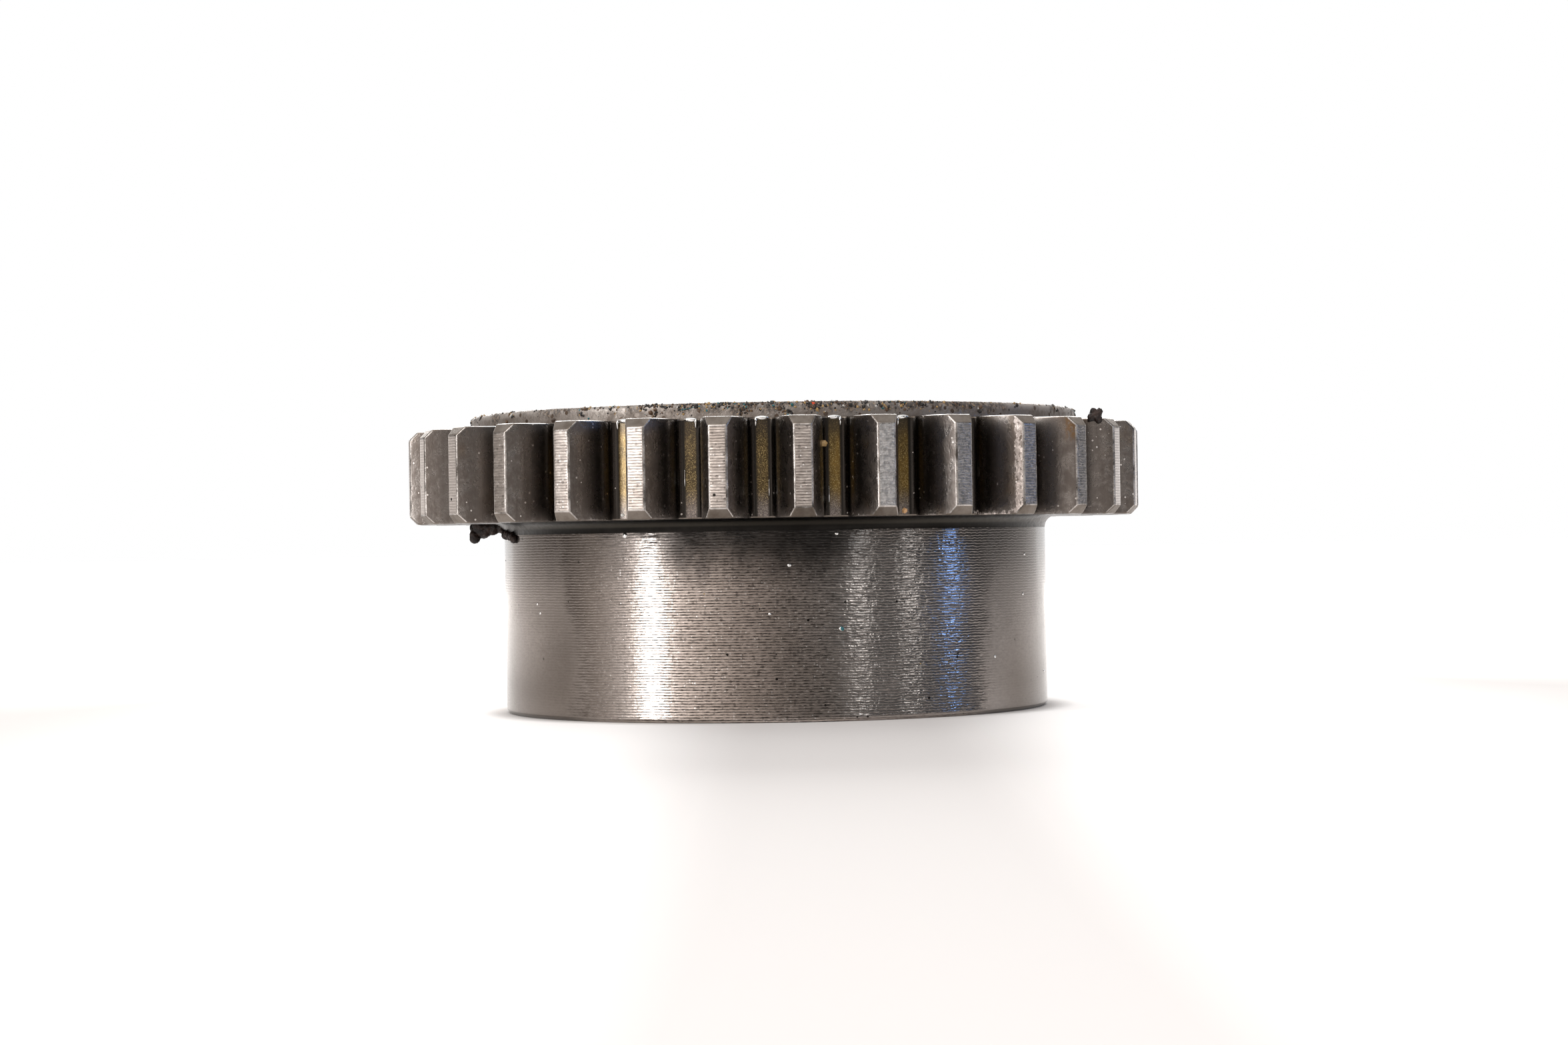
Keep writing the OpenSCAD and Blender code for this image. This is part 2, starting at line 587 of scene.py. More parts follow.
def build_feed_lines():
    inputs = {"Travel": 0.0, "Turn": 0.0, "Pitch": 0.0002, "Depth": 0.000007, "Waver": 0.1, "Jitter": 0.0}
    tree, given, out = new_group("Feed lines", inputs, ["Height", "Groove"])
    spot = put(tree, "TexCoord").outputs["Object"]
    drift = put(tree, "TexNoise", {"Vector": spot, "Scale": 130, "Detail": 2}).outputs["Fac"]
    lines = sums(tree, "DIVIDE", given["Travel"], given["Pitch"])
    phase = sums(tree, "SUBTRACT", lines, given["Turn"])
    phase = scaled(tree, drift, given["Waver"], phase)
    torn = put(tree, "TexNoise", {"Vector": spot, "Scale": 2200, "Detail": 2}).outputs["Fac"]
    phase = scaled(tree, torn, given["Jitter"], phase)
    across = sums(tree, "FRACT", phase)
    long_side = scaled(tree, across, -1 / LONG_SHARE, 1.0)
    short_side = scaled(tree, across, 1 / (1 - LONG_SHARE), -LONG_SHARE / (1 - LONG_SHARE))
    crest = sums(tree, "MAXIMUM", long_side, short_side)
    flat = put(tree, "VectorMath", {0: spot, 1: (1, 1, LINE_STRETCH)}, operation="MULTIPLY").outputs[0]
    uneven = put(tree, "TexNoise", {"Vector": flat, "Scale": 900, "Detail": 3}).outputs["Fac"]
    depth = times(tree, given["Depth"], ranged(tree, uneven, 0.25, 0.75, 0.7, 1.25))
    rounded = sums(tree, "POWER", crest, 1.3)
    tree.links.new(times(tree, rounded, depth), out["Height"])
    broken = put(tree, "TexNoise", {"Vector": flat, "Scale": 2400, "Detail": 3}).outputs["Fac"]
    groove = ranged(tree, across, LONG_SHARE - 0.40, LONG_SHARE - 0.16)
    groove = times(tree, groove, ranged(tree, broken, 0.34, 0.62, 0.40, 1.0))
    tree.links.new(groove, out["Groove"])
    return tree


FEED_LINES = build_feed_lines()
print("group:", FEED_LINES.name)

# %% [markdown]
# ## Smears and specks
# Oil, stains and wear are uneven at many sizes. A cloud of noise cut off between two levels makes
# smears. The cells of a Voronoi texture, a few of them chosen by chance, make specks. Both are groups
# with a scale of their own, so that each finish can use them again with other numbers.

# %% Smears and specks
def build_smears():
    inputs = {"Scale": 200.0, "Upright": 1.0, "Low": 0.4, "High": 0.6}
    tree, given, out = new_group("Smears", inputs, ["Mask"])
    spot = put(tree, "TexCoord").outputs["Object"]
    spread = put(tree, "CombineXYZ", {0: 1.0, 1: 1.0, 2: given["Upright"]}).outputs[0]
    stretched = put(tree, "VectorMath", {0: spot, 1: spread}, operation="MULTIPLY").outputs[0]
    cloud = put(
        tree, "TexNoise",
        {"Vector": stretched, "Scale": given["Scale"], "Detail": 5, "Roughness": 0.6},
    ).outputs["Fac"]
    mask = ranged(tree, cloud, given["Low"], given["High"])
    tree.links.new(mask, out["Mask"])
    return tree


def build_specks():
    tree, given, out = new_group("Specks", {"Scale": 1500.0, "Share": 0.1, "Size": 0.3}, ["Mask"])
    spot = put(tree, "TexCoord").outputs["Object"]
    cells = put(tree, "TexVoronoi", {"Vector": spot, "Scale": given["Scale"]})
    chance = put(tree, "SeparateColor", {0: cells.outputs["Color"]}).outputs[0]
    chosen = sums(tree, "LESS_THAN", chance, given["Share"])
    inside = sums(tree, "LESS_THAN", cells.outputs["Distance"], given["Size"])
    tree.links.new(times(tree, chosen, inside), out["Mask"])
    return tree


SMEARS = build_smears()
SPECKS = build_specks()


def smears(tree, scale, low, high, upright=1.0):
    return use(tree, SMEARS, scale=scale, upright=upright, low=low, high=high)[0]


def specks(tree, scale, share, size):
    return use(tree, SPECKS, scale=scale, share=share, size=size)[0]


print("groups:", [group.name for group in bpy.data.node_groups])

# %% [markdown]
# ## Masks and layers of tint
# A mark that sits at one place on the gear is a mask between two bearings. A finish is then painted
# as on a model: a ground tint first, and each stain or bright mark over it, through its own mask.

# %% Masks and layers of tint
def sector(tree, turn, first, last, fade):
    """One between two bearings in degrees, falling to nought over a fade on both sides."""
    middle, half = (first + last) / 2, (last - first) / 2
    aside = sums(tree, "FRACT", sums(tree, "ADD", turn, 1.5 - middle / 360))
    aside = sums(tree, "ABSOLUTE", sums(tree, "SUBTRACT", aside, 0.5))
    return ranged(tree, aside, half / 360, (half + fade) / 360, 1.0, 0.0)


def mixed(tree, amount, first, second):
    node = put(tree, "Mix", data_type="RGBA")
    for socket, value in (("Factor_Float", amount), ("A_Color", first), ("B_Color", second)):
        target = next(entry for entry in node.inputs if entry.identifier == socket)
        plug(tree, target, (*value, 1) if isinstance(value, tuple) else value)
    return next(entry for entry in node.outputs if entry.identifier == "Result_Color")


def layered(tree, tint, *layers):
    """A tint with others laid over it in turn: each has a mask, a share of that mask and a colour."""
    for mask, share, layer in layers:
        tint = mixed(tree, times(tree, mask, share), tint, layer)
    return tint


print("mask and tint helpers ready")

# %% [markdown]
# ## The finishes
# All of them are bare steel under a film of engine oil, so they share one Principled shader set to
# metal. What differs is colour, roughness and relief. Numbers that are the same all over stay on the
# shader's own sockets.

# %% Steel and its sockets
def shader_of(material, **sockets):
    """Sets plain values on the sockets of a material's shader, and gives its tree and that shader."""
    material.use_nodes = True
    shader = material.node_tree.nodes["Principled BSDF"]
    for socket, value in sockets.items():
        shader.inputs[socket.replace("_", " ")].default_value = value
    return material.node_tree, shader


def steel(name, **sockets):
    return shader_of(bpy.data.materials[name], Metallic=1.0, **sockets)


def surface(tree, shader, tint, rough, height, *marks):
    """Wires a tint, a roughness and a height. Each further mark is a mask and how high it stands."""
    for mask, tall in marks:
        height = scaled(tree, mask, tall, height)
    bump = put(tree, "Bump", {"Strength": 1.0, "Distance": 1.0, "Height": height})
    for socket, value in (("Base Color", tint), ("Roughness", rough), ("Normal", bump.outputs[0])):
        tree.links.new(value, shader.inputs[socket])


def shade_of(tint, share):
    return tuple(share * part for part in tint)


print("steel helpers ready")

# %% [markdown]
# ## A turned surface
# On the hub and the tips, the grooves hold dark oil, the crests are bright, and specks of bare metal
# glitter between them. Anisotropic shading could stand in for the lines from far away, but a relief
# with dark grooves also holds close up. Where the gear was rubbed, the lines have faded or are broken
# up. Each such place has two bearings and a fade in degrees, the shares of the lines and of the relief
# that are gone, how far the lines are broken, the tint of the bare steel and how dented it is.

# %% Turned finish
FEED = 0.225 * MM
LINE_WAVER = 0.6
LINE_JITTER = 0.3
DENT_HEIGHT = 0.016 * MM
RAGGED_EDGE = 0.7
GROOVE_OIL = (0.03, 0.027, 0.024)
BARE_SPECK = (0.95, 0.91, 0.88)
Rubbed = namedtuple("Rubbed", "first last fade lines relief broken bare dents")


def turned_finish(name, along, depth, clean, stained, rough, sparkle, filled, rubbed=()):
    """Feed lines along the axis or towards it, filled with oil and rubbed off between some bearings."""
    tree, shader = steel(name)
    place = use(tree, TURNED_PLACE)
    ragged = sums(tree, "SUBTRACT", smears(tree, scale=120, low=0.2, high=0.8), 0.5)
    worn_parts = []
    jitter = LINE_JITTER
    for part in rubbed:
        turn = scaled(tree, ragged, RAGGED_EDGE * part.fade / 360, place["Turn"])
        worn = sector(tree, turn, part.first, part.last, part.fade)
        worn_parts.append((part, worn))
        jitter = scaled(tree, worn, part.broken, jitter)
    height, groove = use(
        tree, FEED_LINES,
        travel=place[along], turn=place["Turn"], pitch=FEED, depth=depth, waver=LINE_WAVER, jitter=jitter,
    )
    smear = smears(tree, scale=160, upright=1.5, low=0.42, high=0.68)
    fine = smears(tree, scale=2600, upright=2.0, low=0.35, high=0.65)
    streak = smears(tree, scale=500, upright=9.0, low=0.40, high=0.65)
    grain = smears(tree, scale=7500, low=0.25, high=0.75)
    bright = specks(tree, scale=4600, share=0.11, size=0.34)
    dull = specks(tree, scale=3100, share=0.16, size=0.40)
    pits = specks(tree, scale=2300, share=0.012, size=0.28)
    tint = layered(tree, mixed(tree, smear, clean, stained), (fine, 0.6, shade_of(stained, 0.7)))
    for part, worn in worn_parts:
        kept = scaled(tree, worn, -part.lines, 1.0)
        marks = (groove, streak, bright, dull)
        groove, streak, bright, dull = [times(tree, kept, mark) for mark in marks]
        kept = scaled(tree, worn, -part.relief, 1.0)
        height, grain = [times(tree, kept, mark) for mark in (height, grain)]
        tint = layered(tree, tint, (worn, 0.75, part.bare))
        if part.dents:
            dents = times(tree, smears(tree, scale=3400, low=0.35, high=0.65), worn)
            height = scaled(tree, dents, DENT_HEIGHT * part.dents, height)
            tint = layered(tree, tint, (dents, part.dents, shade_of(part.bare, 0.5)))
    tint = layered(
        tree, tint,
        (streak, 0.35, shade_of(stained, 0.5)),
        (dull, 0.6, shade_of(stained, 0.35)),
        (bright, 0.6, BARE_SPECK),
        (groove, filled, GROOVE_OIL),
        (pits, 1.0, GROOVE_OIL),
    )
    rough = scaled(tree, fine, 0.05, scaled(tree, smear, 0.05, rough))
    surface(tree, shader, tint, rough, height, (grain, sparkle), (bright, 0.001 * MM), (pits, -0.01 * MM))
    return tree, shader, place, tint, groove


print("turned finish: feed", FEED / MM, "mm")

# %% [markdown]
# ## Hub, tips, end faces and bore
# Oil has crept down the hub from the corner under the teeth and left a clear film, which the coat of the
# shader stands for. Under the ring the steel is also painted darker, a painted shade where the overhang of
# the teeth shades the hub. In two sectors the hub is painted darker towards its foot. The other turned
# faces differ from the hub in the depth of their lines, in their tint and in how much oil is left in the
# grooves.

# %% Hub, tips, end faces and bore
OIL_AND_SHADE_FADE = 10.5 * MM
OIL_AND_SHADE_FULL = 15.4 * MM
OIL_AND_SHADE_SECTOR = (-112, -84)
OIL_AND_SHADE_TINT = (0.020, 0.017, 0.015)
LOWER_HUB_SHADE = ((-172, -143), (-34, -16))
LOWER_HUB_SHADE_TINT = (0.12, 0.10, 0.085)
SOFT_EDGE = 12


def oil_and_shade_under_ring(tree, shader, place, tint, groove):
    """Oil that crept down from the corner under the teeth as a clear film, over steel painted darker as a
    painted shade under the ring.
    """
    ragged = smears(tree, scale=500, upright=0.5, low=0.3, high=0.7)
    level = scaled(tree, ragged, 1.2 * MM, place["Travel"])
    full_sector = sector(tree, place["Turn"], *OIL_AND_SHADE_SECTOR, SOFT_EDGE)
    film = times(tree, ranged(tree, level, OIL_AND_SHADE_FADE, OIL_AND_SHADE_FULL), scaled(tree, full_sector, 0.62, 0.38))
    low_down = ranged(tree, place["Travel"], 2.0 * MM, 13.5 * MM, 0.75, 0.0)
    # Painted shade: in two sectors the hub is painted darker towards its foot.
    for first, last in LOWER_HUB_SHADE:
        shaded_sector = sector(tree, place["Turn"], first, last, SOFT_EDGE)
        tint = mixed(tree, times(tree, low_down, shaded_sector), tint, LOWER_HUB_SHADE_TINT)
    # Painted shade: the same mask as the oil film also darkens the base colour towards the ring.
    tree.links.new(layered(tree, tint, (film, 0.93, OIL_AND_SHADE_TINT)), shader.inputs["Base Color"])
    crests = sums(tree, "SUBTRACT", 1.0, groove)
    tree.links.new(times(tree, film, crests), shader.inputs["Coat Weight"])
    shader.inputs["Coat Roughness"].default_value = 0.06
    shader.inputs["Coat IOR"].default_value = 1.55
    tree.links.new(shader.inputs["Normal"].links[0].from_socket, shader.inputs["Coat Normal"])


HUB_FADED = (0.40, 0.354, 0.325)
HUB_BARE = (0.26, 0.227, 0.205)
HUB_DARK = (0.16, 0.148, 0.14)
RUBBED_HUB = (
    Rubbed(-190, -130, 10, 0.5, 0.1, 0.2, HUB_FADED, 0.0),
    Rubbed(-76, 30, 8, 0.5, 0.0, 0.7, HUB_FADED, 0.0),
    Rubbed(-190, -144, 15, 0.95, 0.93, 0.0, HUB_BARE, 0.0),
    Rubbed(-44, 30, 11, 0.95, 0.93, 0.0, HUB_DARK, 0.0),
)
turned = turned_finish(
    "hub_turned", "Travel", 0.021 * MM, (0.70, 0.622, 0.571), (0.53, 0.46, 0.41), 0.13, 0.0010 * MM,
    filled=0.95, rubbed=RUBBED_HUB,
)
oil_and_shade_under_ring(*turned)
RUBBED_TIPS = (
    Rubbed(-168, -147, 3, 0.8, 0.8, 0.0, (0.80, 0.735, 0.693), 0.2),
    Rubbed(-80, -76, 2, 0.5, 0.3, 1.5, (0.66, 0.64, 0.63), 0.9),
    Rubbed(-68, -38, 3, 0.6, 0.6, 1.5, (0.34, 0.33, 0.328), 0.8),
    Rubbed(-32, -14, 3, 0.8, 0.8, 0.0, (0.95, 0.90, 0.87), 0.2),
)
turned_finish(
    "tip_turned", "Travel", 0.036 * MM, (0.66, 0.594, 0.547), (0.43, 0.371, 0.327), 0.34, 0.005 * MM,
    filled=0.42, rubbed=RUBBED_TIPS,
)
turned_finish(
    "face_turned", "Radius", 0.006 * MM, (0.50, 0.47, 0.44), (0.33, 0.30, 0.27), 0.30, 0.002 * MM,
    filled=0.36,
)
turned_finish(
    "bore_honed", "Travel", 0.0015 * MM, (0.56, 0.53, 0.50), (0.42, 0.39, 0.36), 0.22, 0.001 * MM,
    filled=0.3,
)
print("oil film from", OIL_AND_SHADE_FADE / MM, "mm up")

# %% [markdown]
# ## Chamfers and worn edges
# The chamfers were turned with a broad tool and are smooth, and old oil has made them brown. The
# outermost edges of the teeth are rubbed down to bright metal. Both are the same simple circuit with
# other numbers.

# %% Chamfers and worn edges
def smooth_finish(name, clean, stained, rough, grain):
    tree, shader = steel(name)
    smear = smears(tree, scale=700, low=0.35, high=0.7)
    fine = smears(tree, scale=5000, low=0.3, high=0.7)
    tint = mixed(tree, smear, clean, stained)
    surface(tree, shader, tint, scaled(tree, fine, 0.12, rough), times(tree, fine, grain))


smooth_finish("chamfer_turned", (0.23, 0.198, 0.17), (0.15, 0.122, 0.098), 0.42, 0.004 * MM)
smooth_finish("edge_worn", (0.56, 0.52, 0.49), (0.10, 0.088, 0.077), 0.24, 0.006 * MM)
print("smooth finishes ready")

# %% [markdown]
# ## Oily flanks
# The hob leaves smooth flanks, and hot oil has stained them dark. Towards the root they are painted almost
# black, a painted shade deep in the gap. One flank on the right is scuffed to bright metal along its edge,
# and the next one carries amber oil.
# Both marks are masks between two bearings, so they stay on their tooth from every side.

# %% Oily flanks
SCUFFED_FLANK = (-58.2, -54.8)
AMBER_FLANK = (-46.0, -43.4)
FLANK_EDGE = 0.2


def flank_finish():
    tree, shader = steel("flank_hobbed", Coat_Roughness=0.12, Coat_IOR=1.45)
    travel, radius, turn = use(tree, TURNED_PLACE)
    streak = smears(tree, scale=900, upright=0.06, low=0.3, high=0.7)
    smear = smears(tree, scale=420, upright=0.7, low=0.5, high=0.72)
    grime = smears(tree, scale=1300, upright=0.8, low=0.36, high=0.62)
    chips = smears(tree, scale=4200, upright=0.7, low=0.36, high=0.56)
    scratches = smears(tree, scale=3600, upright=0.8, low=0.30, high=0.70)
    glint = specks(tree, scale=2900, share=0.08, size=0.24)
    at_tip = ranged(tree, radius, TIP_R - 2.2 * MM, TIP_R - 0.6 * MM)
    at_foot = ranged(tree, travel, TEETH_BOTTOM + 0.2 * MM, TEETH_BOTTOM + 1.4 * MM, 1.0, 0.0)
    rim = sums(tree, "MAXIMUM", at_tip, at_foot)
    dirty = times(tree, grime, scaled(tree, rim, 0.45, 0.15))
    # Painted shade: the flanks turn almost black towards the root.
    painted_root_shade = ranged(tree, radius, ROOT_R + 0.4 * MM, ROOT_R + 1.8 * MM, 0.8, 0.0)

    outer = ranged(tree, radius, TIP_R - 0.90 * MM, TIP_R - 0.50 * MM)
    lower = ranged(tree, travel, TEETH_BOTTOM + 0.1 * MM, TEETH_BOTTOM + 0.7 * MM, 0.8, 0.0)
    torn = sums(tree, "ADD", scratches, sums(tree, "MAXIMUM", outer, lower))
    scuffed = times(tree, sector(tree, turn, *SCUFFED_FLANK, FLANK_EDGE), ranged(tree, torn, 1.05, 1.40))
    wet = times(tree, sector(tree, turn, *AMBER_FLANK, FLANK_EDGE), chips)
    wet = times(tree, wet, ranged(tree, travel, TEETH_TOP - 2.4 * MM, TEETH_TOP - 1.2 * MM))
    wet = times(tree, wet, ranged(tree, radius, TIP_R - 1.1 * MM, TIP_R - 0.5 * MM))

    tint = layered(
        tree, mixed(tree, streak, (0.27, 0.243, 0.223), (0.18, 0.161, 0.147)),
        (smear, 0.6, (0.19, 0.142, 0.10)),
        (dirty, 1.0, (0.10, 0.078, 0.064)),
        (painted_root_shade, 1.0, (0.018, 0.015, 0.012)),
        (scuffed, 1.0, mixed(tree, chips, (0.78, 0.70, 0.655), (0.42, 0.37, 0.34))),
        (wet, 0.7, (0.20, 0.10, 0.025)),
        (glint, 1.0, (0.75, 0.70, 0.66)),
    )
    surface(
        tree, shader, tint, scaled(tree, dirty, 0.25, 0.24), times(tree, streak, 0.001 * MM),
        (dirty, 0.010 * MM), (times(tree, chips, rim), 0.006 * MM), (glint, 0.01 * MM),
    )
    tree.links.new(scaled(tree, smear, 0.4, 0.2), shader.inputs["Coat Weight"])


flank_finish()
print("flanks: scuffed at", SCUFFED_FLANK, "amber at", AMBER_FLANK)

# %% [markdown]
# ## Varnished roots
# At the bottom of the gaps, oil has baked to a golden varnish over fine tool marks, which glitter
# through it. The middle of each gap is found by counting the teeth along the bearing. Tiny Voronoi
# cells with a tint and a height of their own make the glitter, at far less cost than modelled flakes.

# %% Varnished roots
DARK_GAP = (-99.0, -93.0)


def root_finish():
    """Golden in the middle of each gap, grey at its foot, dark at its top, and painted shade at its sides.
    """
    tree, shader = steel("root_varnished", Coat_Weight=0.4, Coat_Roughness=0.15, Coat_IOR=1.45)
    travel, _, turn = use(tree, TURNED_PLACE)
    step = sums(tree, "FRACT", scaled(tree, turn, TEETH, TEETH + 0.5))
    aside = sums(tree, "ABSOLUTE", sums(tree, "SUBTRACT", step, 0.5))
    spot = put(tree, "TexCoord").outputs["Object"]
    flakes = put(tree, "TexVoronoi", {"Vector": spot, "Scale": 24000.0}).outputs["Color"]
    tilt = put(tree, "SeparateColor", {0: flakes}).outputs[0]
    smear = smears(tree, scale=420, upright=0.5, low=0.38, high=0.62)
    golden = smears(tree, scale=70, upright=0.4, low=0.36, high=0.60)
    foot = ranged(tree, travel, TEETH_BOTTOM + 0.3 * MM, TEETH_BOTTOM + 2.6 * MM, 0.8, 0.0)
    crown = ranged(tree, travel, TEETH_TOP - 2.4 * MM, TEETH_TOP - 0.3 * MM, 0.0, 0.75)
    tint = layered(
        tree, mixed(tree, golden, (0.14, 0.105, 0.062), (0.30, 0.18, 0.040)),
        (smear, 0.7, (0.055, 0.040, 0.018)),
        (sector(tree, turn, *DARK_GAP, 1), 0.45, (0.05, 0.036, 0.012)),
        (ranged(tree, tilt, 0.70, 1.0), 1.0, (0.55, 0.40, 0.17)),
        (foot, 1.0, mixed(tree, tilt, (0.07, 0.06, 0.058), (0.36, 0.32, 0.31))),
        (crown, 1.0, (0.045, 0.038, 0.032)),
        # Painted shade: the root turns dark at both sides of the gap.
        (ranged(tree, aside, 0.055, 0.095), 1.0, (0.025, 0.021, 0.017)),
    )
    surface(tree, shader, tint, scaled(tree, smear, 0.1, 0.26), times(tree, tilt, 0.007 * MM))


root_finish()
print("roots:", TEETH, "golden strips")

# %% [markdown]
# ## Wet underside in painted shade
# The underside of the ring and the fillet lie in shadow and are wet with old oil. Their tint is painted
# almost black, a painted shade over the oil. A thin paler band on the fillet is a painted reflection.

# %% Wet underside in painted shade
def underside_finish():
    tree, shader = steel("underside_oil_and_shade", Coat_Weight=0.06, Coat_Roughness=0.2)
    travel = use(tree, TURNED_PLACE)["Travel"]
    smear = smears(tree, scale=350, low=0.35, high=0.7)
    fine = smears(tree, scale=3000, low=0.3, high=0.7)
    # Painted reflection: a thin paler band on the fillet, just under the ring.
    above = ranged(tree, travel, TEETH_BOTTOM - 0.65 * MM, TEETH_BOTTOM - 0.45 * MM)
    below = ranged(tree, travel, TEETH_BOTTOM - 0.30 * MM, TEETH_BOTTOM - 0.10 * MM)
    painted_fillet_reflection = sums(tree, "SUBTRACT", above, below)
    tint = layered(
        # Painted shade: the underside's tint is almost black.
        tree, mixed(tree, smear, (0.014, 0.0125, 0.011), (0.008, 0.007, 0.006)),
        (painted_fillet_reflection, 0.8, (0.042, 0.037, 0.030)),
    )
    surface(tree, shader, tint, scaled(tree, fine, 0.15, 0.3), times(tree, fine, 0.003 * MM))


underside_finish()
print("underside ready")

# %% [markdown]
# ## Grimy boss
# The boss has a stained wall with a painted highlight along its upper edge, and patches of caked dirt on
# its upper half.
# The dirt isn't metal, so the Metallic socket is driven by the same mask as the tint.

# %% Grimy boss
def boss_finish():
    tree, shader = steel("boss_grimy")
    travel = use(tree, TURNED_PLACE)["Travel"]
    stain = smears(tree, scale=650, low=0.42, high=0.66)
    grit = smears(tree, scale=3200, low=0.40, high=0.62)
    tan = smears(tree, scale=4200, low=0.48, high=0.62)
    patch = smears(tree, scale=260, upright=0.5, low=0.38, high=0.56)
    ragged = smears(tree, scale=1300, upright=0.8, low=0.3, high=0.7)
    crumbs = specks(tree, scale=1800, share=0.25, size=0.34)
    level = scaled(tree, ragged, 0.8 * MM, travel)
    crust = times(tree, patch, ranged(tree, level, BOSS_TOP - 0.40 * MM, BOSS_TOP))
    # Painted highlight: the wall is painted paler along its upper edge.
    rubbed = ranged(tree, travel, BOSS_TOP - 0.70 * MM, BOSS_TOP - 0.25 * MM)
    tint = layered(
        tree, mixed(tree, stain, (0.29, 0.257, 0.230), (0.17, 0.138, 0.115)),
        (rubbed, 0.45, (0.66, 0.61, 0.57)),
        (crust, 0.9, mixed(tree, tan, (0.045, 0.034, 0.027), (0.26, 0.19, 0.135))),
        (crumbs, 1.0, (0.10, 0.07, 0.05)),
    )
    surface(
        tree, shader, tint, scaled(tree, grit, 0.2, 0.42), times(tree, grit, 0.012 * MM),
        (crust, 0.03 * MM), (crumbs, 0.02 * MM),
    )
    bare = times(tree, scaled(tree, stain, -0.5, 0.9), sums(tree, "SUBTRACT", 1.0, crust))
    tree.links.new(bare, shader.inputs["Metallic"])


boss_finish()
print("boss finish ready")

# %% [markdown]
# ## Grit
# The gear comes from an engine that was taken apart, and grit sticks to the oil on its boss, most of
# it along the upper edge. A particle system could scatter it, but a short list of places, drawn with
# a fixed seed, can be steered and stays the same each time. Only a third of the way round is drawn.
# The rest is a copy of it.

# %% Where the grains lie
BALL_VERTICES = 12
VIEWER = math.degrees(CAMERA_TURN) - 90
BLACK, BROWN, TAN = (0.020, 0.017, 0.015), (0.10, 0.055, 0.028), (0.42, 0.27, 0.11)
PALE, TEAL, RED = (0.55, 0.53, 0.50), (0.015, 0.13, 0.15), (0.70, 0.075, 0.02)
GRIT_TINTS = (BLACK, BROWN, TAN, PALE, TEAL)
GRIT_SHARES = (52, 24, 17, 4, 3)
chance = random.Random(11)
grains = []


def scatter(total, spread, place_at, smallest, largest):
    for _ in range(total):
        at = VIEWER + chance.gauss(4, spread)
        size = smallest + (largest - smallest) * chance.random() ** 3
        tint = chance.choices(GRIT_TINTS, GRIT_SHARES)[0]
        grains.append((place_at(at), size, tint))


def on_boss(at, drop):
    """A spot on the boss's wall or, near the top, on its rounded edge."""
    inside = BOSS_ROUND - min(drop, BOSS_ROUND)
    radius = BOSS_R - BOSS_ROUND + math.sqrt(BOSS_ROUND**2 - inside**2)
    return polar(radius - 0.02 * MM, at, BOSS_TOP - drop)


def on_boss_wall(at):
    return on_boss(at, 0.08 * MM + 0.95 * MM * chance.random() ** 2.6)


def on_boss_face(at):
    return polar(BOSS_R - 0.40 * MM - 1.2 * MM * chance.random(), at, BOSS_TOP - 0.02 * MM)


def on_hub(at):
    return polar(HUB_R - 0.01 * MM, at, chance.uniform(1.0, 15.0) * MM)


def clump(at):
    """A few grains stuck together, with a larger one in the middle."""
    drop = 0.12 * MM + 0.75 * MM * chance.random() ** 2
    size = chance.uniform(0.10, 0.19) * MM
    grains.append((on_boss(at, drop), size, chance.choice((BLACK, BLACK, BROWN))))
    for _ in range(chance.randint(5, 12)):
        aside = chance.gauss(0, 0.45)
        lower = max(drop + chance.gauss(0, 0.14 * MM), 0.04 * MM)
        tint = chance.choices(GRIT_TINTS, GRIT_SHARES)[0]
        grains.append((on_boss(at + aside, lower), chance.uniform(0.04, 0.13) * MM, tint))


COPIES = 3
CLUMPS = 46
scatter(700, 21, on_boss_wall, 0.03 * MM, 0.13 * MM)
scatter(50, 30, on_boss_face, 0.03 * MM, 0.09 * MM)
scatter(48, 32, on_hub, 0.02 * MM, 0.08 * MM)
for _ in range(CLUMPS):
    clump(VIEWER + chance.gauss(2, 27))
print("grains on a third of the gear:", len(grains))

# %% [markdown]
# ## Single grains
# A few grains catch the eye: a red one, some teal ones, brown lumps, and pale ones that lie in the
# gaps. They are placed one by one, and they aren't copied round.

# %% Single grains that stand out
GAP_GH, GAP_HI, GAP_DE = -84.0, -72.0, -120.0
single_grains = [
    (polar(29.2 * MM, GAP_GH - 2.3, 22.3 * MM), 0.26 * MM, TAN),
    (polar(30.8 * MM, GAP_HI - 2.7, 16.9 * MM), 0.20 * MM, (0.62, 0.36, 0.17)),
    (polar(30.0 * MM, GAP_DE + 2.2, 16.9 * MM), 0.18 * MM, (0.75, 0.74, 0.70)),
    (on_boss(VIEWER + 7.2, 0.22 * MM), 0.17 * MM, RED),
    (on_boss(VIEWER + 3.5, 0.32 * MM), 0.18 * MM, TEAL),
    (polar(HUB_R, VIEWER + 13.0, 7.5 * MM), 0.20 * MM, TEAL),
    (on_boss(VIEWER - 56.9, 0.90 * MM), 0.24 * MM, BROWN),
    (on_boss(VIEWER - 42.5, 1.00 * MM), 0.25 * MM, (0.05, 0.03, 0.02)),
    (on_boss(VIEWER - 21.5, 0.70 * MM), 0.23 * MM, BROWN),
    (on_boss(VIEWER - 20.6, 0.48 * MM), 0.17 * MM, BROWN),
    (on_boss(VIEWER + 39.9, 0.45 * MM), 0.20 * MM, BROWN),
]
TEAL_ROW = 9
for index in range(TEAL_ROW):
    at = VIEWER - 16.0 + 0.42 * index
    single_grains.append((on_boss(at, (0.55 - 0.03 * index) * MM), 0.075 * MM, TEAL))
print("single grains:", len(single_grains))

# %% [markdown]
# ## Many small shapes in one mesh
# Grit, grease and oil are made of many small balls. Thousands of objects would be slow to handle, so
# each kind starts as an empty mesh, and its balls are added to it in edit mode.

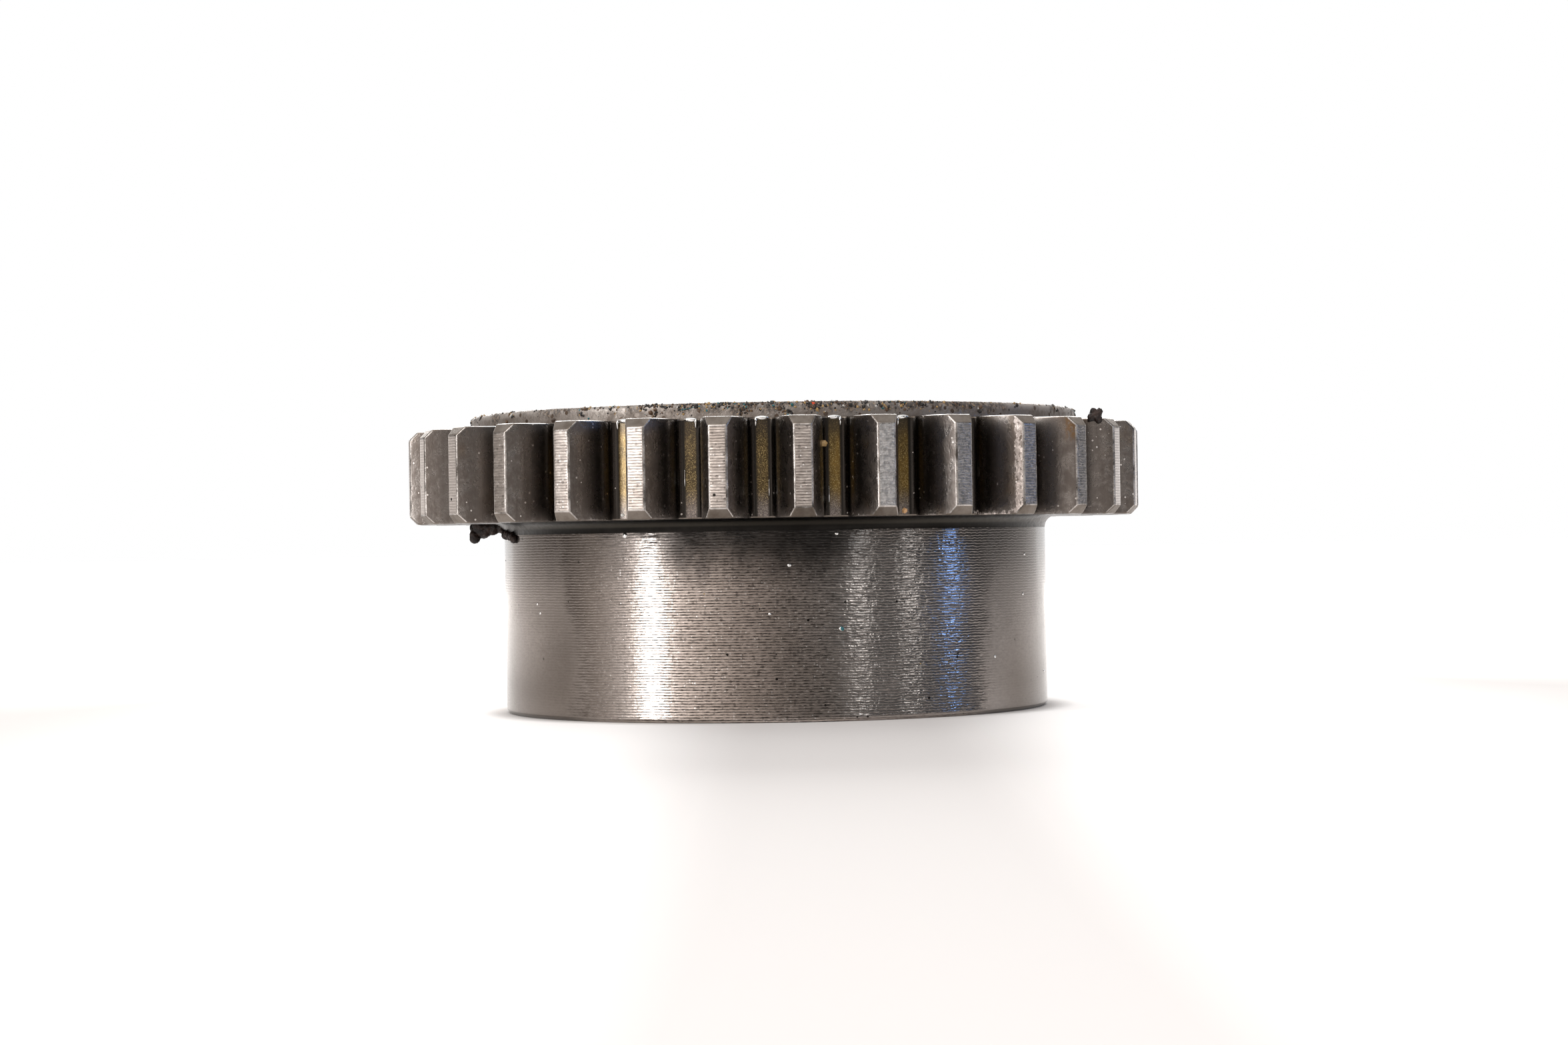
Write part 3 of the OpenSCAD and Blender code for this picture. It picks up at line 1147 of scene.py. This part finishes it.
# %% Many small shapes in one mesh
def start_empty(name, subdivisions):
    """A ball emptied of its vertices, which stays in edit mode to take many others like it."""
    clear_selection()
    bpy.ops.mesh.primitive_ico_sphere_add(subdivisions=subdivisions, radius=MM)
    piece = bpy.context.object
    piece.name = name
    edit_all()
    bpy.ops.mesh.delete(type="VERT")
    return piece


def paint(piece, name, **sockets):
    """Gives a piece a new material of its own."""
    material = bpy.data.materials.new(name)
    piece.data.materials.append(material)
    return shader_of(material, **sockets)


print("helpers for small shapes ready")

# %% [markdown]
# ## Grit as one mesh
# Each grain is a ball of twenty faces, squeezed and turned at random. All of them are added to one
# mesh, spun round in three copies and roughened together. A colour for each grain is stored in an
# attribute that the material reads, so one material serves them all.

# %% Grit as one mesh
def add_grains(batch):
    for place, size, _ in batch:
        bpy.ops.mesh.primitive_ico_sphere_add(
            subdivisions=1,
            radius=size,
            location=place,
            rotation=[chance.uniform(0, math.pi) for _ in range(3)],
            scale=[chance.uniform(0.7, 1.3) for _ in range(3)],
        )


def tint_grains(mesh, batch):
    """Colours the grains that were added last, twelve vertices each."""
    entries = mesh.color_attributes["tint"].data
    start = len(entries) - BALL_VERTICES * len(batch)
    for index, (_, _, tint) in enumerate(batch):
        for corner in range(BALL_VERTICES):
            entries[start + BALL_VERTICES * index + corner].color = (*tint, 1)


grit = start_empty("grit", subdivisions=1)
add_grains(grains)
leave_edit()
grit.data.color_attributes.new("tint", "FLOAT_COLOR", "POINT")
tint_grains(grit.data, grains)
edit_all()
spin_round(COPIES - 1, 360 - 360 / COPIES, copies=True)
add_grains(single_grains)
leave_edit()
tint_grains(grit.data, single_grains)
edit_all()
bpy.ops.transform.vertex_random(offset=0.018 * MM, uniform=1.0, seed=3)
leave_edit()

tree, shader = paint(grit, "grit", Roughness=0.45)
tree.links.new(put(tree, "Attribute", attribute_name="tint").outputs["Color"], shader.inputs["Base Color"])
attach(grit, "root")
print("grit:", len(grit.data.polygons), "faces")

# %% [markdown]
# ## Grease
# Old grease hangs in lumps under the ring on the left, and a crumb of it lies on a tooth on the
# right. Sculpting would do, but a row of balls of uneven size already has the knobbly outline, and it
# can be written down.

# %% Where the grease hangs
LUMP_BALLS = 44
TAIL_BALLS = 12
CRUMB_BALLS = 26


def in_view(x, y, z):
    """A point as the camera sees it, in millimetres from the axis: x to the right, y away, z up."""
    return facing @ (Vector((x, y, z)) * MM)


grease_chance = random.Random(8)
balls = []
for index in range(LUMP_BALLS):
    along = index / (LUMP_BALLS - 1)
    hang = (0.3 + 1.0 * (1 - along) ** 2) * grease_chance.random()
    ahead = -1.0 + grease_chance.uniform(-0.25, 0.25)
    balls.append((in_view(-26.5 + 3.0 * along, ahead, 16.5 - hang), grease_chance.uniform(0.34, 0.58)))
for index in range(TAIL_BALLS):
    along = index / (TAIL_BALLS - 1)
    spot = polar(HUB_R + 0.1 * MM, math.degrees(CAMERA_TURN) - 177 + 18 * along)
    spot.z = (16.0 - 0.7 * along + grease_chance.uniform(-0.15, 0.15)) * MM
    balls.append((spot, grease_chance.uniform(0.24, 0.34 + 0.10 * along)))
for index in range(CRUMB_BALLS):
    shift = Vector([grease_chance.uniform(-1, 1) for _ in range(3)])
    shift = Vector((0.55 * shift.x, 0.3 * shift.y, 0.60 * shift.z))
    balls.append((in_view(*(Vector((26.9, -14.4, 24.55)) + shift)), grease_chance.uniform(0.14, 0.30)))
print("grease:", len(balls), "balls")

# %% [markdown]
# ## Grease melted together
# The balls are added to one mesh, and a remesh with small voxels turns them into one skin. Smoothing,
# shaking and smoothing again leaves the crumbly surface of old grease. It is dark and only a little
# shiny.

# %% Grease melted together
grease = start_empty("grease", subdivisions=3)
for place, size in balls:
    bpy.ops.mesh.primitive_ico_sphere_add(subdivisions=3, radius=size * MM, location=place)
apply_modifier(grease, "REMESH", mode="VOXEL", voxel_size=0.07 * MM)
edit_all()
bpy.ops.mesh.vertices_smooth(factor=0.5, repeat=3)
bpy.ops.transform.vertex_random(offset=0.06 * MM, uniform=0.5, seed=5)
bpy.ops.mesh.vertices_smooth(factor=0.5, repeat=1)
leave_edit()
bpy.ops.object.shade_smooth()

tree, shader = paint(grease, "grease", Roughness=0.5, Specular_IOR_Level=0.35)
smear = smears(tree, scale=1500, low=0.4, high=0.65)
tint = mixed(tree, smear, (0.010, 0.006, 0.005), (0.040, 0.022, 0.016))
tree.links.new(tint, shader.inputs["Base Color"])
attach(grease, "root")
print("grease:", len(grease.data.polygons), "faces")

# %% [markdown]
# ## Oil
# Fresh oil has run into the gaps and stands there in small wet beads, which show as white glints.
# Each bead is a ball pressed long or flat. It lies where two faces meet, because a liquid is drawn
# into a corner.

# %% Where the oil stands
HUB_BEADS = 14
LARGE_BEADS = ((-30.8, 15.3, 0.24), (12.3, 15.2, 0.16), (2.9, 12.7, 0.17), (13.0, 7.5, 0.22))
oil_chance = random.Random(23)
beads = []


def hub_bead(at, height, size):
    beads.append((polar(HUB_R, at, height * MM), at, (0.5 * size, size, size)))


for index in range(TEETH):
    gap = TOOTH_BEARING + TOOTH_STEP * (index + 0.5)
    side = oil_chance.choice((-1, 1))
    top = TEETH_TOP - oil_chance.uniform(0.02, 0.10) * MM
    beads.append((polar(ROOT_R + 0.04 * MM, gap, top), gap, (0.20, 0.58, 0.19)))
    corner = gap + side * 1.0
    beads.append((polar(ROOT_R + 0.08 * MM, corner, top - 0.28 * MM), corner, (0.16, 0.13, 0.40)))
    if oil_chance.random() < 0.4:
        corner = gap - side * 1.05
        foot = polar(ROOT_R + 0.06 * MM, corner, TEETH_BOTTOM + oil_chance.uniform(1.5, 4.5) * MM)
        beads.append((foot, corner, (0.07, 0.06, 0.70)))
for _ in range(HUB_BEADS):
    at = oil_chance.uniform(-180, 180)
    size = oil_chance.uniform(0.07, 0.16)
    hub_bead(at, oil_chance.uniform(3.0, 15.3), size)
for ahead, height, size in LARGE_BEADS:
    hub_bead(VIEWER + ahead, height, size)
print("oil:", len(beads), "beads")

# %% [markdown]
# ## Oil beads
# All beads are one mesh of smooth balls. Clear oil on steel shows mostly the light it mirrors, and at
# this size a mirror finish gives the same glints as real refraction with much less noise.

# %% Oil beads
oil = start_empty("oil", subdivisions=2)
for place, at, sides in beads:
    bpy.ops.mesh.primitive_ico_sphere_add(
        subdivisions=2, radius=MM, location=place, rotation=(0, 0, math.radians(at)), scale=sides
    )
work_on(oil)
bpy.ops.object.shade_smooth()
paint(oil, "oil", Base_Color=(0.80, 0.79, 0.77, 1), Metallic=1.0, Roughness=0.06)
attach(oil, "root")
print("oil:", len(oil.data.polygons), "faces")

# %% [markdown]
# ## Floor
# The gear stands on a white table. Under the gear and in the shadow in front of it, the table is lit by
# the lamps alone. Farther off and behind the gear, a little emission that only seen rays get lifts it to
# the white of the backdrop, and no edge shows. At both sides of that shadow the same emission is painted
# light: two bright bands that narrow the shadow in front of the hub.

# %% Floor
def seen_directly(tree):
    """One for what the camera sees, also in metal or through glass, and nought for fill light."""
    path = put(tree, "LightPath").outputs
    seen = sums(tree, "MAXIMUM", path["Is Camera Ray"], path["Is Glossy Ray"])
    return sums(tree, "MAXIMUM", seen, path["Is Transmission Ray"])


FLOOR_SIDE = 6.0
FLOOR_LIFT_FAR = 0.65
FLOOR_LIFT_SIDE = 0.42
FLOOR_LIFT_BACK = 0.45
SHADOW_MIDDLE = 5 * MM
SHADOW_EDGE = HUB_R + 3 * MM
clear_selection()
bpy.ops.mesh.primitive_plane_add(size=FLOOR_SIDE)
floor = bpy.context.object
floor.name = "floor"
tree, shader = paint(
    floor, "white_table", Base_Color=(0.90, 0.875, 0.86, 1), Roughness=0.9, Specular_IOR_Level=0.1,
    Emission_Color=(1.0, 0.985, 0.975, 1),
)
spot = put(tree, "TexCoord").outputs["Object"]
away = put(tree, "VectorMath", {0: spot}, operation="LENGTH").outputs["Value"]
facing_spot = put(tree, "Mapping", {"Vector": spot, "Rotation": (0, 0, -CAMERA_TURN)}).outputs[0]
across, along, _ = put(tree, "SeparateXYZ", {0: facing_spot}).outputs
across = sums(tree, "ABSOLUTE", sums(tree, "SUBTRACT", across, SHADOW_MIDDLE))
far = ranged(tree, away, 0.10, 0.75, 0.0, FLOOR_LIFT_FAR)
behind = ranged(tree, away, SHADOW_EDGE, 0.12, 0.0, FLOOR_LIFT_BACK)
behind = times(tree, behind, ranged(tree, along, 0.0, 60 * MM))
# Painted light at both sides of the shadow in front, which narrows it.
beside = ranged(tree, across, 6 * MM, 20 * MM)
beside = sums(tree, "SUBTRACT", beside, ranged(tree, across, 30 * MM, 75 * MM))
beside = times(tree, beside, ranged(tree, away, HUB_R, SHADOW_EDGE, 0.0, FLOOR_LIFT_SIDE))
lift = sums(tree, "MAXIMUM", sums(tree, "MAXIMUM", far, behind), beside)
tree.links.new(times(tree, seen_directly(tree), lift), shader.inputs["Emission Strength"])
print("floor", FLOOR_SIDE, "m")

# %% [markdown]
# ## Light tent
# A tent of white cloth fills the shadows softly. What is seen of it, directly or mirrored in the
# steel, is plain white. For the light that it sheds, it is dimmer, so that the pale table doesn't
# burn out.

# %% Light tent
TENT_FILL = (0.50, 0.48, 0.465)
world = bpy.data.worlds.new("light_tent")
bpy.context.scene.world = world
world.use_nodes = True
tree = world.node_tree
background = tree.nodes["Background"]
tree.links.new(mixed(tree, seen_directly(tree), TENT_FILL, (1.0, 1.0, 1.0)), background.inputs["Color"])
background.inputs["Strength"].default_value = 1.0
print("tent fill", TENT_FILL)

# %% [markdown]
# ## A curtain for the steel to mirror
# Bare steel shows its surroundings, so what stands round the viewer gives the hub its tones: dim in
# front, with a warm glow on the left, and bright towards both sides. Lamps could do that, but they
# would light the table too. A curtain that only mirrored rays see changes nothing else.

# %% Curtain
CURTAIN_R = 0.8
CURTAIN_TOP = 0.9
CURTAIN_END = 145
CURTAIN_STOPS = (
    (-145, (0.76, 0.727, 0.703)),
    (-124, (0.36, 0.333, 0.31)),
    (-108, (0.18, 0.160, 0.146)),
    (-95, (0.165, 0.145, 0.131)),
    (-78, (0.45, 0.405, 0.37)),
    (-62, (1.0, 0.94, 0.92)),
    (-48, (1.4, 1.30, 1.26)),
    (-34, (1.05, 0.95, 0.89)),
    (-16, (0.52, 0.46, 0.425)),
    (4, (0.24, 0.217, 0.203)),
    (30, (0.122, 0.125, 0.128)),
    (84, (0.08, 0.088, 0.098)),
    (108, (0.15, 0.148, 0.147)),
    (126, (0.40, 0.385, 0.375)),
    (145, (0.80, 0.775, 0.755)),
)
clear_selection()
bpy.ops.mesh.primitive_cylinder_add(
    vertices=72, radius=CURTAIN_R, depth=CURTAIN_TOP, end_fill_type="NOTHING"
)
curtain = bpy.context.object
curtain.name = "curtain"
curtain.data.transform(Matrix.Translation((0, 0, CURTAIN_TOP / 2)))
edit_all()


def is_behind(middle, normal):
    return abs((bearing(middle) - VIEWER + 180) % 360 - 180) > CURTAIN_END


choose_faces(curtain, is_behind)
bpy.ops.mesh.delete(type="FACE")
leave_edit()
print("curtain:", len(curtain.data.polygons), "faces")

# %% [markdown]
# ## The tones of the curtain
# A colour ramp round the curtain holds the tones, each at its bearing from the viewer. High up at
# both sides the curtain is nearly white, which brightens the tooth tips that look that way.

# %% Tones of the curtain
curtain_material = bpy.data.materials.new("dark_curtain")
curtain_material.use_nodes = True
tree = curtain_material.node_tree
tree.nodes.remove(tree.nodes["Principled BSDF"])
spot = put(tree, "TexCoord").outputs["Object"]
spot = put(tree, "Mapping", {"Vector": spot, "Rotation": (0, 0, -CAMERA_TURN)}).outputs[0]
x, y, z = put(tree, "SeparateXYZ", {0: spot}).outputs
around = sums(tree, "ARCTAN2", x, times(tree, y, -1.0))
around = scaled(tree, around, 0.5 / math.radians(CURTAIN_END), 0.5)
ramp = put(tree, "ValToRGB", {0: around})
aside = sums(tree, "ABSOLUTE", sums(tree, "SUBTRACT", around, 0.5))
upper = times(tree, ranged(tree, aside, 0.32, 0.42), ranged(tree, z, 0.24, 0.38))
tone = mixed(tree, upper, ramp.outputs["Color"], (1.0, 0.96, 0.93))
stops = ramp.color_ramp.elements
while len(stops) < len(CURTAIN_STOPS):
    stops.new(0.5)
for stop, (degrees, shade) in zip(stops, CURTAIN_STOPS):
    stop.position = 0.5 + 0.5 * degrees / CURTAIN_END
    stop.color = (*shade, 1)
glow = put(tree, "Emission", {"Color": tone, "Strength": 1.0})
tree.links.new(glow.outputs[0], tree.nodes["Material Output"].inputs["Surface"])
curtain.data.materials.append(curtain_material)
curtain.visible_camera = False
curtain.visible_diffuse = False
curtain.visible_shadow = False
print("curtain tones:", len(CURTAIN_STOPS))

# %% [markdown]
# ## Lamps
# A tall strip on the left makes the one strong highlight on the hub. Two narrow panels and a blue one
# on the right make the weaker ones, a panel above lights the tooth tips, and a low one behind throws
# the shadow to the front. Each is given as the width and height it has for the gear, in degrees, and
# as a radiance, which is how bright it looks in the steel.

# %% Lamps
LAMP_DISTANCE = 0.6


def add_lamp(name, degrees, lift, width, tall, radiance, tint):
    """A panel that faces the gear, at a bearing to the right of the camera and a lift above the floor."""
    data = bpy.data.lights.new(name, "AREA")
    data.shape = "RECTANGLE"
    data.size = LAMP_DISTANCE * math.radians(width)
    data.size_y = LAMP_DISTANCE * math.radians(tall)
    data.color = tint
    data.energy = radiance * math.pi * data.size * data.size_y
    lamp = bpy.data.objects.new(name, data)
    bpy.context.scene.collection.objects.link(lamp)
    along, up = math.radians(degrees), math.radians(lift)
    outward = Vector((math.sin(along) * math.cos(up), -math.cos(along) * math.cos(up), math.sin(up)))
    middle = Vector((0, 0, BOSS_TOP / 2))
    place = middle + facing @ (LAMP_DISTANCE * outward)
    aim = (middle - place).to_track_quat("-Z", "Y")
    lamp.matrix_world = Matrix.Translation(place) @ aim.to_matrix().to_4x4()
    lamp.visible_camera = False


add_lamp("strip_left", -52.3, 15, 4.7, 33, 16.0, (0.96, 0.98, 1.0))
add_lamp("halo_left", -52, 17, 18, 30, 0.8, (1.0, 0.975, 0.965))
add_lamp("ceiling_front", -2, 42, 56, 22, 2.0, (1.0, 0.97, 0.95))
add_lamp("spark_right", 35, 18.5, 3.2, 16, 4.4, (0.95, 0.98, 1.0))
add_lamp("spark_far_right", 57, 18.5, 4, 16, 3.4, (0.95, 0.98, 1.0))
add_lamp("cool_strip", 78.5, 15.2, 2.6, 10, 14.0, (0.20, 0.42, 1.0))
add_lamp("tip_glint", -39, 31, 12, 14, 5.0, (1.0, 0.985, 0.97))
add_lamp("back_panel", -177, 21, 46, 22, 8.5, (1.0, 0.985, 0.97))
